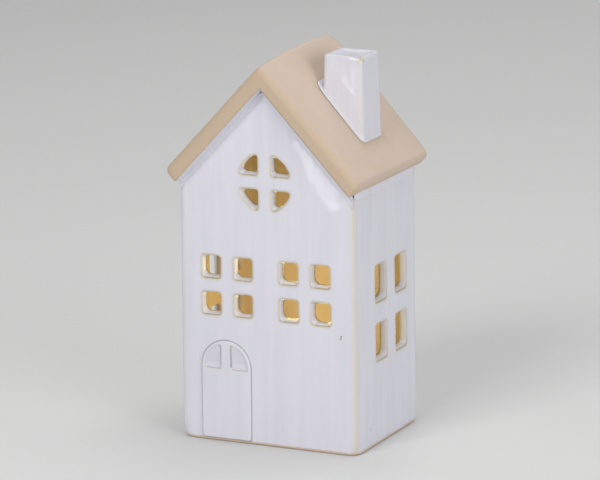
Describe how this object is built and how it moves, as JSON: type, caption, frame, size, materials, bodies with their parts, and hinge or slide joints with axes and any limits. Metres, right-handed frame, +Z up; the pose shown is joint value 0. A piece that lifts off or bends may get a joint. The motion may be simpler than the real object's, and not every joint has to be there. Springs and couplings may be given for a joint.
{
  "type": "light-up decorative house",
  "caption": "Glazed ceramic house with a bare clay pitched roof, chimney, cut-out windows and relief door, lit from inside by a battery lamp unit pushed into its floor.",
  "frame": {"origin": "on the table under the middle of the house", "axes": "the front with the door faces -Y, +X is to the viewer's right, +Z is up"},
  "size_m": [0.0968, 0.0796, 0.1819],
  "materials": {
    "white_glaze": "glossy white glaze with a cool tint",
    "bare_clay": "matt unglazed sand-coloured clay",
    "housing_plastic": "fine-textured off-white moulding",
    "black_plastic": "satin black moulding",
    "grip_rubber": "soft grey rubber",
    "plated_steel": "zinc plated",
    "nickel_strip": "nickel plated strip",
    "board": "green solder mask",
    "lamp_lens": "clear warm lens",
    "resistor_body": "tan lacquer",
    "cell_wrap": "plain dark sleeve",
    "red_insulation": "red insulation",
    "black_insulation": "black insulation"
  },
  "bodies": {
    "house": {"house_walls": "white_glaze", "roof": "bare_clay", "chimney": "white_glaze"},
    "light_unit": {"light_unit_housing": "housing_plastic", "grip_ring": "grip_rubber", "light_unit_lid": "housing_plastic", "lid_screw_1": "plated_steel", "lid_screw_2": "plated_steel", "lid_screw_3": "plated_steel", "lid_screw_4": "plated_steel", "battery_cell_1": "cell_wrap", "battery_cell_2": "cell_wrap", "contact_bridge": "nickel_strip", "contact_positive": "nickel_strip", "contact_negative": "nickel_strip", "contact_spring_1": "plated_steel", "contact_spring_2": "plated_steel", "switch_body": "black_plastic", "circuit_board": "board", "lamp": "lamp_lens", "resistor": "resistor_body", "wire_red": "red_insulation", "wire_black": "black_insulation", "wire_switched": "red_insulation"},
    "hatch": {"battery_hatch": "housing_plastic"},
    "hatch_screw": {"battery_hatch_screw": "plated_steel"},
    "switch": {"switch_knob": "black_plastic"}
  },
  "joints": [
    {"name": "light_unit_pull", "type": "slide", "parent": "house", "child": "light_unit", "axis": [0, 0, -1], "range_m": [0, 0.04]},
    {"name": "hatch_swing", "type": "hinge", "parent": "light_unit", "child": "hatch", "pos_m": [0, -0.0197, 0.0027], "axis": [-1, 0, 0], "range_deg": [0, 95]},
    {"name": "hatch_screw_turn", "type": "hinge", "parent": "hatch", "child": "hatch_screw", "pos_m": [0.011, 0.01025, 0.0017], "axis": [0, 0, 1], "range_deg": [0, 1440]},
    {"name": "switch_slide", "type": "slide", "parent": "light_unit", "child": "switch", "axis": [-1, 0, 0], "range_m": [0, 0.0025]}
  ]
}
